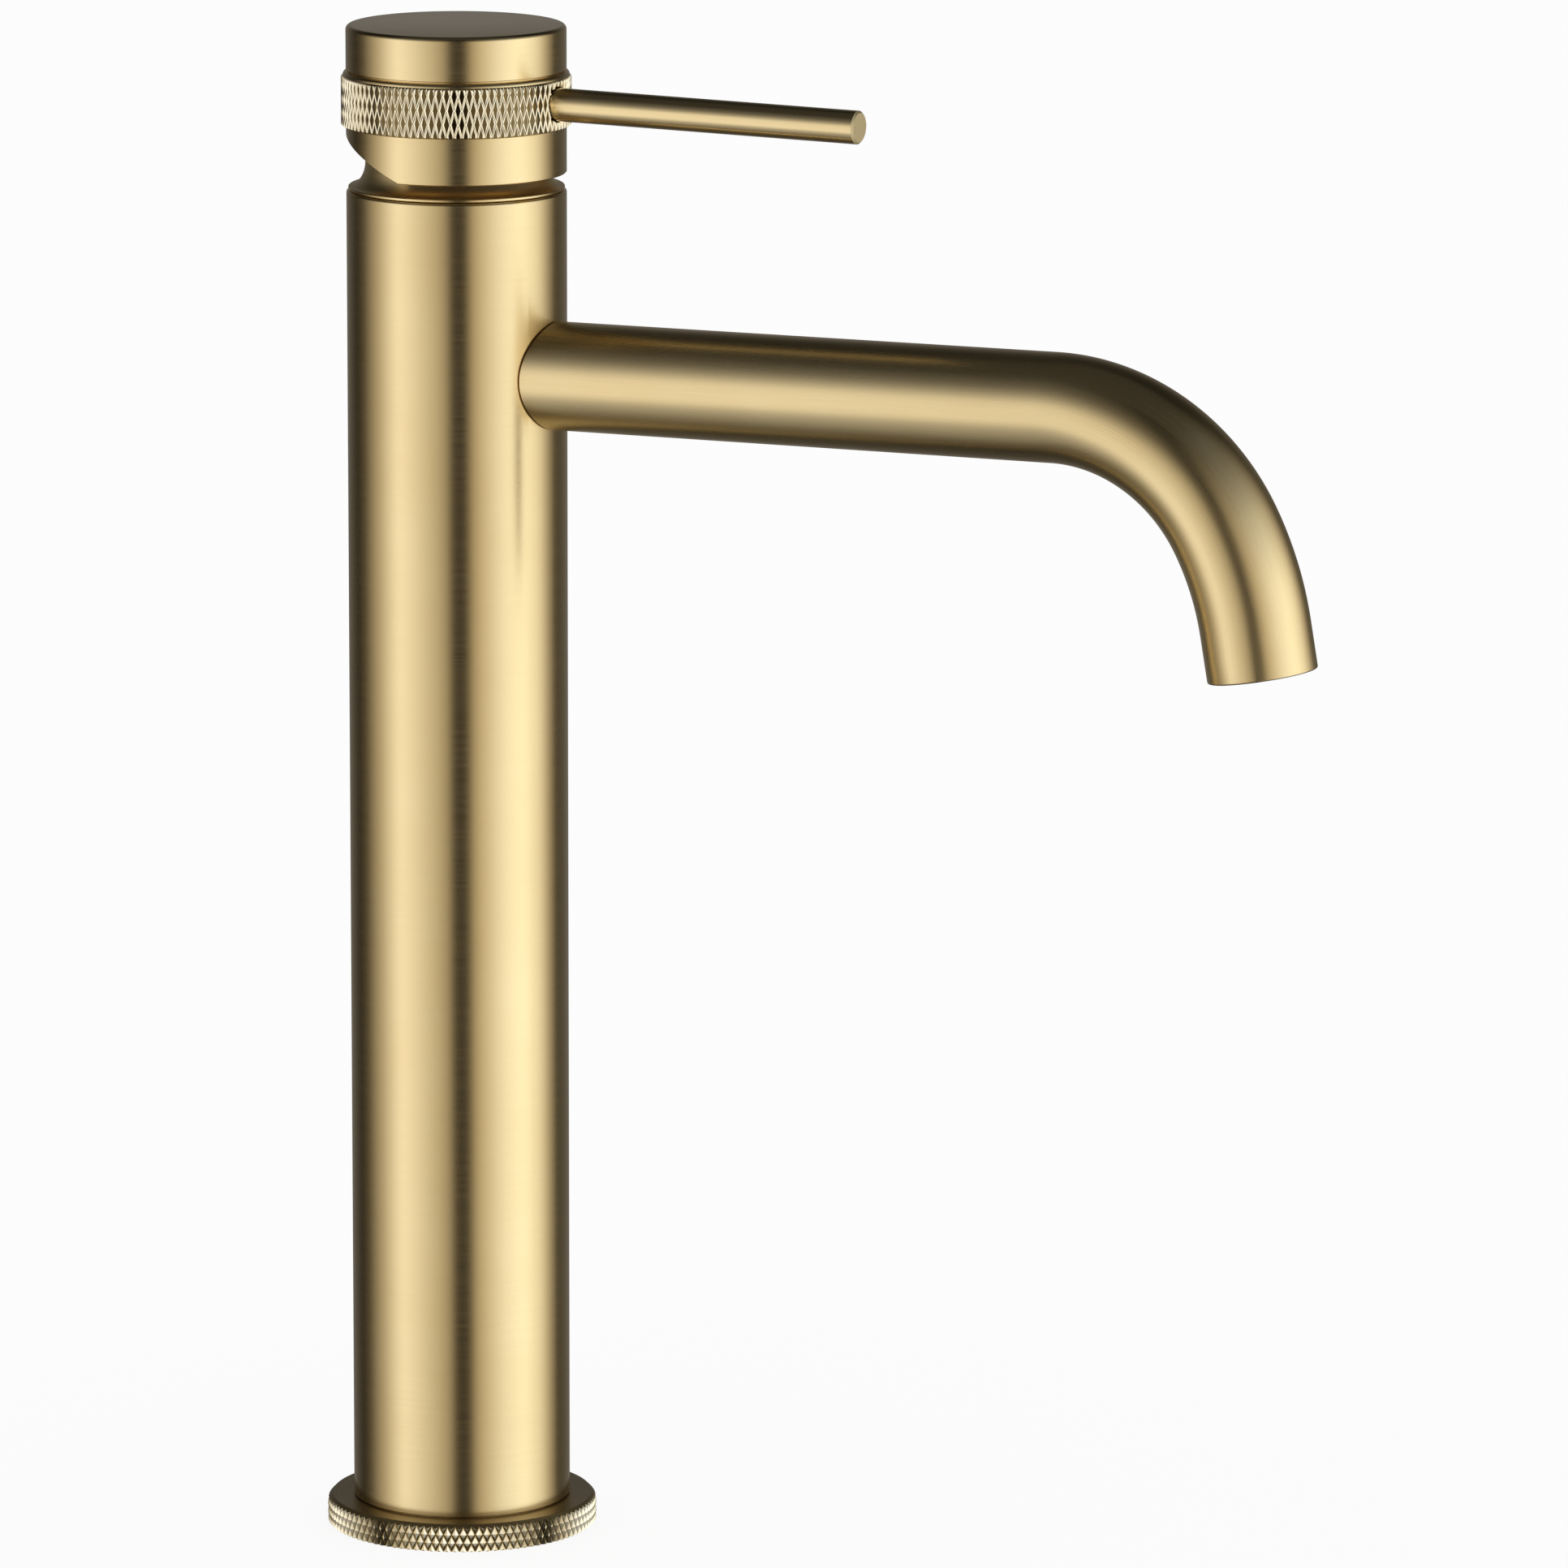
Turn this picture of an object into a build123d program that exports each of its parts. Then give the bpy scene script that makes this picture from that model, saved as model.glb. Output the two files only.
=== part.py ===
from build123d import *
from math import cos, radians, sin, sqrt, tan
import os

# Single-lever basin mixer on a slim round column, with a 35 mm ceramic-disc cartridge.
# Millimetres. The origin is the centre of the flange's underside, on the deck.
# +X runs along the spout and the lever, and +Z is up the column.
# Threads are plain cylinders: a bore at its tapping size, a screw at its core size.

# ---- Clearances ----
slip_gap = 0.1        # radial, pieces of one body that slide together and then stay
running_gap = 0.05    # radial, a pin in the bore that it turns in
face_gap = 0.2        # axial, faces that turn past each other

# ---- Column and its foot ----
column_r = 22.5
column_wall = 2.2
column_top = 280.0
column_rim_round = 0.9
flange_r = 28.0
flange_h = 5.7
flange_edge = 0.3
flange_bore_r = 17.1
seal_r_in = 19.0
seal_r_out = 26.0
seal_h = 1.5
plug_h = 14.0
plug_spigot_lift = 0.5       # how far the spigot stops short of the deck
hose_slot_x = 16.4
hose_slot_y = 31.0
stud_hole_r = 2.5            # M6, tapping size
stud_x = 12.4

# ---- Handle, from the joint above the column upwards ----
skirt_bottom = 283.6
skirt_top = 293.35
ring_h = 11.05
ring_proud = 1.0             # how far the ring stands out from the skirt and the cap
ring_seat = 1.5              # how far the ring's seat lies inside the skirt
cap_h = 9.4
cap_edge_round = 1.0
cap_spigot_r = 15.0
cap_spigot_h = 5.1
cap_recess_depth = 5.2
skirt_wall = 1.4
skirt_cavity_top = 290.5
relief_start_x = -1.1        # where the back of the skirt starts to rise
relief_deg = 23.3
handle_roof = 295.4
handle_sphere_r = 20.4

# ---- Lever ----
lever_r = 3.4
lever_tip_x = 91.25
lever_seat_x = 18.6
lever_thread_r = 2.45
lever_thread_start_x = 10.5
lever_end_chamfer = 0.35
lever_z = 298.92
lever_droop_deg = 0.5
grub_r = 2.45
grub_length = 5.2
grub_hex = 2.5               # across flats
grub_hex_depth = 2.4

# ---- Spout ----
spout_r = 11.1
spout_wall = 1.3
spout_z = 242.74
spout_rise_deg = 0.8
spout_straight = 134.5
spout_bend_r = 42.0
spout_bend_deg = 62.4
spout_tail_r = 63.0
spout_tail_deg = 18.4
spout_end = 9.6
spout_lip_round = 0.4
nipple_r = 8.3
nipple_bore_r = 6.0
nipple_in_spout = 14.0
nipple_tip_x = 11.2
nipple_groove_x = 14.5
o_ring_w = 2.0
o_ring_depth = 1.4

# ---- Aerator ----
aerator_recess = 1.0
aerator_wall = 1.7
aerator_h = 8.4
aerator_lip_r = 7.1
aerator_lip_h = 1.0
screen_h = 0.8
insert_h = 4.0
mesh_hole_r = 0.55
mesh_pitch = 1.9
mesh_across = 7              # holes in the widest row, before the rim trims them
insert_rings = [(3.0, 12), (5.5, 6)]  # each ring's inset from the rim, and its count of holes
washer_h = 1.4
washer_bore_r = 5.6

# ---- Valve body and bonnet ----
body_bottom = 227.0
body_top = 279.6
cup_floor = 259.5
bonnet_thread_wall = 1.4     # of the bonnet, below the column's rim
bonnet_thread_floor = 268.0
inlet_thread_r = 4.5         # M10 x 1, tapping size
inlet_y = 9.4
inlet_depth = 10.0
passage_r = 4.5
port_floor_x = 11.0
bonnet_thread_start = 269.5
bonnet_flange_inset = 0.7    # how far the bonnet's flange stays inside the column's outside
bonnet_flange_h = 0.9
bonnet_bead = 0.4
bonnet_edge = 0.7            # chamfer at the top of its neck
bonnet_neck_wall = 1.0
bonnet_neck_bottom = 285.9
bonnet_top = 287.4
bonnet_lip_gap = 0.4

# ---- Cartridge ----
cartridge_r = 17.4
cartridge_wall = 2.2
base_flange_h = 2.5
base_spigot_h = 2.5
fixed_disc_h = 5.0
disc_margin = 3.0            # how much smaller in radius the moving disc is
moving_disc_h = 4.5
carrier_h = 6.0
housing_shoulder = 285.5
housing_roof = 283.4
neck_step = 4.4              # from the housing's outside in to its neck
neck_wall = 1.3
neck_top = 290.0
hot_port_x = 6.28
hot_port_y = 5.27
hot_port_r = 2.1
outlet_port_x = -1.0
outlet_port_r = 2.9
port_seal_w = 1.4
port_seal_h = 1.0
peg_r = 1.5
peg_h = 2.0
peg_inset = 3.9              # from the base's rim in to the pegs
peg_deg = 148.4
chamber_r = 5.7
chamber_depth = 2.2
disc_offset = -1.6           # closed position of the moving disc, from the column axis

# ---- Rotor and stem ----
pivot_z = 286.0
pivot_pin_r = 1.5
pivot_pin_inset = 1.1
rotor_flange_gap = 0.6
rotor_flange_h = 2.9
rotor_top = 290.2
rotor_slot_y = 4.1
rotor_slot_back = 6.8
rotor_slot_front = 4.5
rotor_lower_back = 4.5
rotor_lower_front = 5.8
rotor_ring_z = 287.8
rotor_ring_w = 1.6
rotor_ring_depth = 1.2
stem_half = 4.0
stem_edge = 0.3
stem_bottom = 282.5
stem_top = 304.5
stem_arm_r = 1.6
ball_r = 2.5
ball_z = 278.0
ball_gap = 0.2
socket_floor = 275.0

# ---- Worked out from the above ----
column_in_r = column_r - column_wall
plug_r = column_in_r - slip_gap
body_r = column_in_r - slip_gap
cap_r = column_r
skirt_r = cap_r
skirt_cavity_r = skirt_r - skirt_wall
ring_r = skirt_r + ring_proud
ring_core_r = skirt_r - ring_seat
ring_top = skirt_top + ring_h
spout_in_r = spout_r - spout_wall
nipple_outer_r = spout_in_r - slip_gap / 2
spout_port_r = nipple_r + slip_gap / 2
aerator_r = spout_in_r - slip_gap
aerator_in_r = aerator_r - aerator_wall
base_r = cartridge_r - slip_gap
cup_r = cartridge_r + 2 * slip_gap
bonnet_thread_r = cup_r + bonnet_thread_wall
bonnet_flange_r = column_r - bonnet_flange_inset
bonnet_neck_r = cup_r + bonnet_neck_wall
housing_in_r = cartridge_r - cartridge_wall
disc_r = housing_in_r - 2 * slip_gap
moving_disc_r = disc_r - disc_margin
neck_r = cartridge_r - neck_step
neck_bore_r = neck_r - neck_wall
bonnet_lip_r = neck_r + bonnet_lip_gap
peg_x = (base_r - peg_inset) * cos(radians(peg_deg))
peg_y = (base_r - peg_inset) * sin(radians(peg_deg))
base_top = cup_floor + base_flange_h
fixed_disc_bottom = base_top + base_spigot_h
moving_disc_bottom = fixed_disc_bottom + fixed_disc_h
carrier_bottom = moving_disc_bottom + moving_disc_h
rotor_flange_top = housing_roof - face_gap
rotor_flange_r = housing_in_r - rotor_flange_gap
rotor_neck_r = neck_bore_r - slip_gap
pivot_pin_length = 2 * (rotor_neck_r - pivot_pin_inset)
socket_r = ball_r + ball_gap
lever_bore_r = lever_r + running_gap
grub_tip_x = stem_half + running_gap
ports = [
    (hot_port_x, hot_port_y, hot_port_r),
    (hot_port_x, -hot_port_y, hot_port_r),
    (outlet_port_x, 0, outlet_port_r),
]

spout_dir = (cos(radians(spout_rise_deg)), 0, sin(radians(spout_rise_deg)))
lever_dir = (cos(radians(lever_droop_deg)), 0, -sin(radians(lever_droop_deg)))


def level(height):
    # A horizontal plane at a height above the deck.
    return Plane.XY.offset(height)


def along_spout(distance):
    # A plane square to the spout's straight run, measured from the column axis.
    return Plane(origin=(0, 0, spout_z), x_dir=(0, 1, 0), z_dir=spout_dir).offset(distance)


def along_lever(distance):
    # A plane square to the lever, measured from the column axis.
    return Plane(origin=(0, 0, lever_z), x_dir=(0, 1, 0), z_dir=lever_dir).offset(distance)


def bar(plane, radius, length, bore=0.0, mode=Mode.ADD):
    # A round bar that rises from the plane, or a tube if it has a bore.
    with BuildSketch(plane) as section:
        Circle(radius)
        if bore:
            Circle(bore, mode=Mode.SUBTRACT)
    extrude(section.sketch, amount=length, mode=mode)


def top_edge(piece):
    # The outline of the highest face.
    return piece.faces().sort_by(Axis.Z)[-1].outer_wire().edges()


def finish(piece, name):
    piece.part.label = name
    export_step(piece.part, f"parts/{name}.step")


os.makedirs("parts", exist_ok=True)

# ---- Foot ----

with BuildPart() as base_flange:
    bar(level(0), flange_r, flange_h, flange_bore_r)
    chamfer(top_edge(base_flange), flange_edge)
    bar(level(0), seal_r_out, seal_h, seal_r_in, Mode.SUBTRACT)
finish(base_flange, "base_flange")

with BuildPart() as flange_seal:
    bar(level(0), seal_r_out, seal_h, seal_r_in)
finish(flange_seal, "flange_seal")

with BuildPart() as base_plug:
    bar(level(flange_h), plug_r, plug_h)
    bar(level(plug_spigot_lift), flange_bore_r - slip_gap, flange_h - plug_spigot_lift)
    with BuildSketch(level(plug_spigot_lift)):
        SlotOverall(hose_slot_y, hose_slot_x, rotation=90)
    extrude(amount=plug_h + flange_h, mode=Mode.SUBTRACT)
    with BuildSketch(level(plug_spigot_lift)):
        with Locations((stud_x, 0), (-stud_x, 0)):
            Circle(stud_hole_r)
    extrude(amount=plug_h + flange_h, mode=Mode.SUBTRACT)
finish(base_plug, "base_plug")

# ---- Column ----

with BuildPart() as column_tube:
    bar(level(flange_h), column_r, column_top - flange_h, column_in_r)
    fillet(top_edge(column_tube), column_rim_round)
    bar(along_spout(0), spout_port_r, 2 * column_r, mode=Mode.SUBTRACT)
finish(column_tube, "column_tube")

# ---- Valve body ----

with BuildPart() as valve_body:
    bar(level(body_bottom), body_r, body_top - body_bottom)
    bar(level(cup_floor), cup_r, body_top - cup_floor, mode=Mode.SUBTRACT)
    bar(level(bonnet_thread_floor), bonnet_thread_r, body_top - bonnet_thread_floor, mode=Mode.SUBTRACT)
    for side in (1, -1):
        bar(
            Plane(origin=(0, side * inlet_y, body_bottom)),
            inlet_thread_r,
            inlet_depth,
            mode=Mode.SUBTRACT,
        )
        riser_foot = Vector(0, side * inlet_y, body_bottom + inlet_depth)
        riser_top = Vector(hot_port_x, side * hot_port_y, cup_floor)
        riser = riser_top - riser_foot
        riser_plane = Plane(origin=riser_foot, z_dir=riser).offset(-hot_port_r)
        bar(riser_plane, hot_port_r, riser.length + 2 * hot_port_r, mode=Mode.SUBTRACT)
    drop_plane = Plane(origin=(outlet_port_x, 0, spout_z))
    bar(drop_plane, outlet_port_r, cup_floor - spout_z, mode=Mode.SUBTRACT)
    passage_start = outlet_port_x - outlet_port_r
    bar(along_spout(passage_start), passage_r, column_r - passage_start, mode=Mode.SUBTRACT)
    bar(along_spout(port_floor_x), spout_port_r, column_r, mode=Mode.SUBTRACT)
    with BuildSketch(level(cup_floor)):
        with Locations((peg_x, peg_y), (peg_x, -peg_y)):
            Circle(peg_r + slip_gap)
    extrude(amount=-(peg_h + face_gap), mode=Mode.SUBTRACT)
finish(valve_body, "valve_body")

# ---- Bonnet: a ring nut that holds the cartridge and trims the top of the column ----

with BuildPart() as bonnet:
    with BuildSketch(Plane.XZ):
        with BuildLine():
            flare_r = bonnet_flange_r - bonnet_bead
            flare_z = column_top + bonnet_flange_h
            thread_r = bonnet_thread_r - slip_gap
            shaft = Polyline(
                (bonnet_lip_r, bonnet_top),
                (bonnet_lip_r, housing_shoulder),
                (cup_r, housing_shoulder),
                (cup_r, bonnet_thread_start),
                (thread_r, bonnet_thread_start),
                (thread_r, column_top),
                (flare_r, column_top),
            )
            bead = Spline(
                shaft @ 1,
                (bonnet_flange_r, column_top + bonnet_flange_h / 2),
                (flare_r, flare_z),
                tangents=((1, 0), (-1, 0.35)),
            )
            flare = Spline(
                bead @ 1,
                (bonnet_neck_r, bonnet_neck_bottom),
                tangents=((-1, 0.35), (0, 1)),
            )
            Polyline(
                flare @ 1,
                (bonnet_neck_r, bonnet_top - bonnet_edge),
                (bonnet_neck_r - bonnet_edge, bonnet_top),
                shaft @ 0,
            )
        make_face()
    revolve(axis=Axis.Z)
finish(bonnet, "bonnet")

# ---- Cartridge, from the bottom up ----

with BuildPart() as cartridge_base:
    bar(level(cup_floor), base_r, base_flange_h)
    bar(level(base_top), housing_in_r - slip_gap, base_spigot_h)
    with BuildSketch(level(cup_floor)):
        with Locations((peg_x, peg_y), (peg_x, -peg_y)):
            Circle(peg_r)
    extrude(amount=-peg_h)
    for x, y, radius in ports:
        bar(Plane(origin=(x, y, cup_floor)), radius, base_flange_h + base_spigot_h, mode=Mode.SUBTRACT)
        seal_r = radius + port_seal_w
        bar(Plane(origin=(x, y, cup_floor)), seal_r, port_seal_h, mode=Mode.SUBTRACT)
        top_seat = Plane(origin=(x, y, fixed_disc_bottom - port_seal_h))
        bar(top_seat, seal_r, port_seal_h, mode=Mode.SUBTRACT)
finish(cartridge_base, "cartridge_base")


def seal_rings(height):
    # Three flat rings, one round each port.
    for x, y, radius in ports:
        bar(Plane(origin=(x, y, height)), radius + port_seal_w, port_seal_h, radius)


with BuildPart() as port_seals:
    seal_rings(cup_floor)
finish(port_seals, "port_seals")

with BuildPart() as disc_seals:
    seal_rings(fixed_disc_bottom - port_seal_h)
finish(disc_seals, "disc_seals")

with BuildPart() as fixed_disc:
    bar(level(fixed_disc_bottom), disc_r, fixed_disc_h)
    for x, y, radius in ports:
        bar(Plane(origin=(x, y, fixed_disc_bottom)), radius, fixed_disc_h, mode=Mode.SUBTRACT)
finish(fixed_disc, "fixed_disc")

with BuildPart() as cartridge_housing:
    bar(level(base_top), cartridge_r, housing_shoulder - base_top)
    bar(level(housing_shoulder), neck_r, neck_top - housing_shoulder)
    bar(level(base_top), housing_in_r, housing_roof - base_top, mode=Mode.SUBTRACT)
    bar(level(housing_roof), neck_bore_r, neck_top - housing_roof, mode=Mode.SUBTRACT)
finish(cartridge_housing, "cartridge_housing")

with BuildPart() as moving_disc:
    bar(Plane(origin=(disc_offset, 0, moving_disc_bottom)), moving_disc_r, moving_disc_h)
    bar(level(moving_disc_bottom), chamber_r, chamber_depth, mode=Mode.SUBTRACT)
finish(moving_disc, "moving_disc")

with BuildPart() as disc_carrier:
    bar(Plane(origin=(disc_offset, 0, carrier_bottom)), moving_disc_r, carrier_h)
    bar(level(socket_floor), socket_r, carrier_bottom + carrier_h - socket_floor, mode=Mode.SUBTRACT)
finish(disc_carrier, "disc_carrier")

# ---- Rotor: turns with the handle and carries its pivot ----

with BuildPart() as cartridge_rotor:
    bar(level(rotor_flange_top - rotor_flange_h), rotor_flange_r, rotor_flange_h)
    bar(level(rotor_flange_top), rotor_neck_r, rotor_top - rotor_flange_top)
    with BuildSketch(level(pivot_z)):
        with Locations(((rotor_slot_front - rotor_slot_back) / 2, 0)):
            Rectangle(rotor_slot_front + rotor_slot_back, 2 * rotor_slot_y)
    extrude(amount=rotor_top - pivot_z, mode=Mode.SUBTRACT)
    with BuildSketch(level(rotor_flange_top - rotor_flange_h)):
        with Locations(((rotor_lower_front - rotor_lower_back) / 2, 0)):
            Rectangle(rotor_lower_front + rotor_lower_back, 2 * rotor_slot_y)
    extrude(amount=pivot_z - rotor_flange_top + rotor_flange_h, mode=Mode.SUBTRACT)
    pin_plane = Plane(origin=(0, -pivot_pin_length / 2, pivot_z), z_dir=(0, 1, 0))
    bar(pin_plane, pivot_pin_r, pivot_pin_length, mode=Mode.SUBTRACT)
    groove_r = rotor_neck_r - rotor_ring_depth
    bar(level(rotor_ring_z), rotor_neck_r, rotor_ring_w, groove_r, Mode.SUBTRACT)
finish(cartridge_rotor, "cartridge_rotor")

with BuildPart() as rotor_o_ring:
    bar(level(rotor_ring_z), neck_bore_r - running_gap, rotor_ring_w, groove_r)
finish(rotor_o_ring, "rotor_o_ring")

with BuildPart() as pivot_pin:
    bar(pin_plane, pivot_pin_r, pivot_pin_length)
finish(pivot_pin, "pivot_pin")

# ---- Handle ----

with BuildPart() as stem:
    with BuildSketch(level(stem_bottom)):
        Rectangle(2 * stem_half, 2 * stem_half)
    extrude(amount=stem_top - stem_bottom)
    chamfer(top_edge(stem), stem_edge)
    bar(level(ball_z), stem_arm_r, stem_bottom - ball_z)
    with Locations((0, 0, ball_z)):
        Sphere(ball_r)
    bar(pin_plane, pivot_pin_r + running_gap, pivot_pin_length, mode=Mode.SUBTRACT)
finish(stem, "stem")

with BuildPart() as handle_body:
    bar(level(skirt_bottom), skirt_r, skirt_top - skirt_bottom)
    bar(level(skirt_top), ring_core_r, ring_h)
    bar(level(ring_top), cap_spigot_r, cap_spigot_h)
    bar(level(skirt_bottom), skirt_cavity_r, skirt_cavity_top - skirt_bottom, mode=Mode.SUBTRACT)
    # The swept room round the bonnet is part of a sphere about the pivot, under a flat roof.
    with BuildSketch(Plane.XZ):
        with BuildLine():
            roof_r = sqrt(handle_sphere_r**2 - (handle_roof - pivot_z) ** 2)
            Polyline(
                (roof_r, handle_roof),
                (0, handle_roof),
                (0, skirt_bottom),
                (skirt_cavity_r, skirt_bottom),
                (handle_sphere_r, pivot_z),
            )
            RadiusArc((handle_sphere_r, pivot_z), (roof_r, handle_roof), -handle_sphere_r)
        make_face()
    revolve(axis=Axis.Z, mode=Mode.SUBTRACT)
    with BuildSketch(level(handle_roof)):
        Rectangle(2 * stem_half + slip_gap, 2 * stem_half + slip_gap)
    extrude(amount=stem_top - handle_roof + face_gap, mode=Mode.SUBTRACT)
    # The back of the skirt is cut away so that it clears the column when the lever is up.
    with BuildSketch(Plane.XZ):
        with BuildLine():
            relief_x = -2 * skirt_r
            relief_z = skirt_bottom + (relief_start_x - relief_x) * tan(radians(relief_deg))
            Polyline(
                (relief_start_x, skirt_bottom),
                (relief_x, relief_z),
                (relief_x, skirt_bottom),
                close=True,
            )
        make_face()
    extrude(amount=2 * skirt_r, both=True, mode=Mode.SUBTRACT)
    bar(along_lever(lever_seat_x), lever_bore_r, skirt_r, mode=Mode.SUBTRACT)
    bar(along_lever(0), grub_r, lever_seat_x, mode=Mode.SUBTRACT)
finish(handle_body, "handle_body")

with BuildPart() as knurled_ring:
    bar(level(skirt_top), ring_r, ring_h, ring_core_r)
    bar(along_lever(lever_seat_x), lever_bore_r, ring_r, mode=Mode.SUBTRACT)
finish(knurled_ring, "knurled_ring")

with BuildPart() as handle_cap:
    bar(level(ring_top), cap_r, cap_h)
    fillet(top_edge(handle_cap), cap_edge_round)
    bar(level(ring_top), cap_spigot_r + slip_gap / 2, cap_recess_depth, mode=Mode.SUBTRACT)
finish(handle_cap, "handle_cap")

with BuildPart() as lever:
    bar(along_lever(lever_seat_x), lever_r, lever_tip_x - lever_seat_x)
    chamfer(lever.edges().sort_by(Axis.X)[-1], lever_end_chamfer)
    bar(along_lever(lever_thread_start_x), lever_thread_r, lever_seat_x - lever_thread_start_x)
finish(lever, "lever")

with BuildPart() as set_screw:
    bar(along_lever(grub_tip_x), grub_r, grub_length)
    with BuildSketch(along_lever(grub_tip_x + grub_length)):
        RegularPolygon(grub_hex / 2, 6, major_radius=False)
    extrude(amount=-grub_hex_depth, mode=Mode.SUBTRACT)
finish(set_screw, "set_screw")

# ---- Spout ----

with BuildPart() as spout_tube:
    with BuildLine(Plane.XZ) as spout_path:
        run = PolarLine((0, spout_z), spout_straight, spout_rise_deg)
        bend = JernArc(run @ 1, run % 1, spout_bend_r, -spout_bend_deg)
        tail = JernArc(bend @ 1, bend % 1, spout_tail_r, -spout_tail_deg)
        Line(tail @ 1, tail @ 1 + (tail % 1) * spout_end)
    with BuildSketch(along_spout(0)):
        Circle(spout_r)
        Circle(spout_in_r, mode=Mode.SUBTRACT)
    sweep()
    fillet(spout_tube.edges().group_by(Axis.Z)[0], spout_lip_round)
    bar(level(spout_z - 2 * spout_r), column_r, 4 * spout_r, mode=Mode.SUBTRACT)
finish(spout_tube, "spout_tube")

outlet_point = spout_path.line @ 1
outlet_dir = spout_path.line % 1


def up_the_outlet(distance):
    # A plane square to the outlet, facing back up the spout.
    inward = outlet_dir * -1
    return Plane(origin=outlet_point + inward * distance, x_dir=(0, 1, 0), z_dir=inward)


with BuildPart() as spout_nipple:
    collar_start = column_r / 2
    collar_length = column_r + nipple_in_spout - collar_start
    bar(along_spout(collar_start), nipple_outer_r, collar_length)
    bar(level(spout_z - 2 * spout_r), column_r, 4 * spout_r, mode=Mode.SUBTRACT)
    bar(along_spout(nipple_tip_x), nipple_r, column_r + nipple_in_spout - nipple_tip_x)
    groove_bottom_r = nipple_r - o_ring_depth
    bar(along_spout(nipple_groove_x), nipple_r, o_ring_w, groove_bottom_r, Mode.SUBTRACT)
    bar(along_spout(nipple_tip_x), nipple_bore_r, 2 * column_r + nipple_in_spout, mode=Mode.SUBTRACT)
finish(spout_nipple, "spout_nipple")

with BuildPart() as nipple_o_ring:
    bar(along_spout(nipple_groove_x), spout_port_r, o_ring_w, groove_bottom_r)
finish(nipple_o_ring, "nipple_o_ring")

# ---- Aerator ----

screen_start = aerator_recess + aerator_lip_h
insert_start = screen_start + screen_h
washer_start = aerator_recess + aerator_h

with BuildPart() as aerator_housing:
    bar(up_the_outlet(aerator_recess), aerator_r, aerator_h, aerator_in_r)
    bar(up_the_outlet(aerator_recess), aerator_in_r, aerator_lip_h, aerator_lip_r)
finish(aerator_housing, "aerator_housing")

with BuildPart() as aerator_screen:
    bar(up_the_outlet(screen_start), aerator_in_r, screen_h)
    with BuildSketch(up_the_outlet(screen_start)):
        with HexLocations(mesh_pitch / sqrt(3), mesh_across, mesh_across):
            Circle(mesh_hole_r)
        Circle(aerator_lip_r - mesh_hole_r, mode=Mode.INTERSECT)
    extrude(amount=screen_h, mode=Mode.SUBTRACT)
finish(aerator_screen, "aerator_screen")

with BuildPart() as aerator_insert:
    bar(up_the_outlet(insert_start), aerator_in_r, insert_h)
    with BuildSketch(up_the_outlet(insert_start)):
        for inset, holes in insert_rings:
            with PolarLocations(aerator_in_r - inset, holes):
                Circle(mesh_hole_r)
    extrude(amount=insert_h, mode=Mode.SUBTRACT)
finish(aerator_insert, "aerator_insert")

with BuildPart() as aerator_washer:
    bar(up_the_outlet(washer_start), aerator_r, washer_h, washer_bore_r)
finish(aerator_washer, "aerator_washer")
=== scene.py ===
from math import asin, cos, pi, radians, sin, sqrt, tan

import bmesh
import bpy
from mathutils import Matrix, Vector


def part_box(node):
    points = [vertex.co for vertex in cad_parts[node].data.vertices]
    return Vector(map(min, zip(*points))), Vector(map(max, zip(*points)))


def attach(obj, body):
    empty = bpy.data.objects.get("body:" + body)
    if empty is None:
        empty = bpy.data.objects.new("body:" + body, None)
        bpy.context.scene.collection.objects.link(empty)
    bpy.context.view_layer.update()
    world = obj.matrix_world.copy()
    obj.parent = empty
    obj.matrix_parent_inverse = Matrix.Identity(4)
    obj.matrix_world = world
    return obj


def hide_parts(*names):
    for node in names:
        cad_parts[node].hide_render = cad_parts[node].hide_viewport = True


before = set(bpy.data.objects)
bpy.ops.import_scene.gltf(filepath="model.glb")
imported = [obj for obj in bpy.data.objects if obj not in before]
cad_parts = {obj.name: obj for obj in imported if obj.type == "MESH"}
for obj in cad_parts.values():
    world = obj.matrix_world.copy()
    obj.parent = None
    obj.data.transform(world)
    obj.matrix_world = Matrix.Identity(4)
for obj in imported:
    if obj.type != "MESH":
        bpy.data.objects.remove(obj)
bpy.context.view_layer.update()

mm = 0.001
weld = 0.002 * mm       # points closer than this become one
sliver = 0.001 * mm     # edges shorter than this go
fineTurn = 96           # sides of a small turned piece
cutMargin = 1           # how far in mm a cutting shape reaches past the piece


def linear(hexText):
    # sRGB hex to the linear values that the shader sockets take
    channels = [int(hexText[i:i + 2], 16) / 255 for i in (1, 3, 5)]
    return [c / 12.92 if c <= 0.04045 else ((c + 0.055) / 1.055) ** 2.4 for c in channels] + [1.0]


def addNode(tree, kind, settings=None, links=None):
    # one node, with its settings, and with each input either set or linked
    node = tree.nodes.new(kind)
    for key, value in (settings or {}).items():
        setattr(node, key, value)
    for key, value in (links or {}).items():
        if isinstance(value, bpy.types.NodeSocket):
            tree.links.new(value, node.inputs[key])
        else:
            node.inputs[key].default_value = value
    return node


def newMaterial(name):
    material = bpy.data.materials.new(name)
    material.use_nodes = True
    material.node_tree.nodes.clear()
    return material, material.node_tree


shot = {
    "place": (1.0157, -1.9193, 0.5861),
    "heading": 26.12,       # degrees turned from +Y towards -X
    "pitch": -11.20,
    "roll": 0.10,
    "lens": 246.3,
    "sensor": 36.0,
    "near": 0.05,
    "far": 40,
}


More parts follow.
